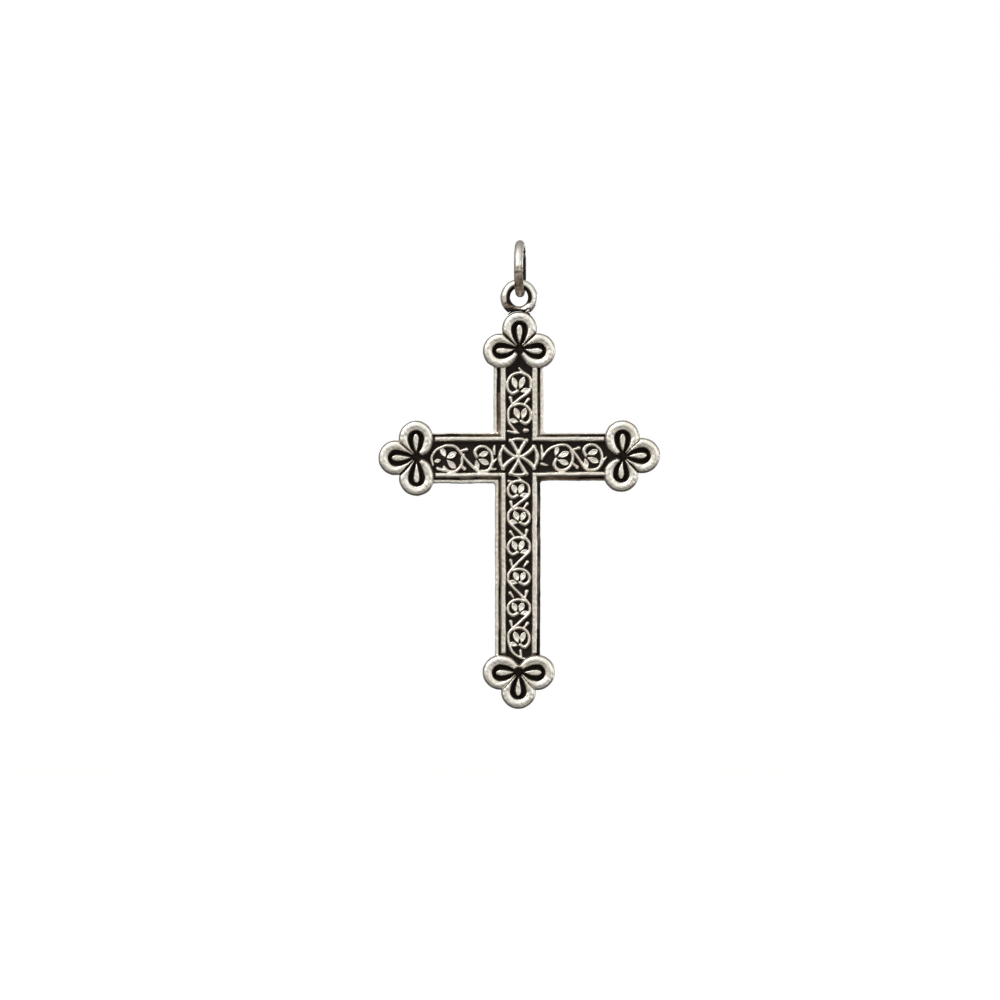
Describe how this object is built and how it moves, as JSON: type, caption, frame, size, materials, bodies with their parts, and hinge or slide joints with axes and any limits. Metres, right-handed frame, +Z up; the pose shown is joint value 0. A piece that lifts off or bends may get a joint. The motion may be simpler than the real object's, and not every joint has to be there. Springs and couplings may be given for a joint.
{
  "type": "cross pendant",
  "caption": "Budded cross pendant with vine scroll relief and an encircled cross at its centre, hung by a soldered wire loop on a jump ring.",
  "frame": {"origin": "chain seat, the inner top of the jump ring", "axes": "+Z up the cross, +X to the right of its front, +Y out of its flat back"},
  "size_m": [0.0338, 0.0068, 0.0563],
  "materials": {
    "antiqued_silver": "satin silver, worn bright on the raised work over a near-black patina in the recesses",
    "loop_silver": "satin silver wire, dark inside the hole",
    "solder": "dark patinated solder",
    "ring_silver": "satin silver wire with scuffs"
  },
  "bodies": {
    "ring": {"jump_ring": "ring_silver"},
    "cross": {"cross_body": "antiqued_silver", "suspension_loop": "loop_silver", "loop_solder": "solder"}
  },
  "joints": [
    {"name": "pendant_swing", "type": "hinge", "parent": "ring", "child": "cross", "pos_m": [0, 0, -0.00412], "axis": [1, 0, 0], "range_deg": [-75, 75]}
  ]
}
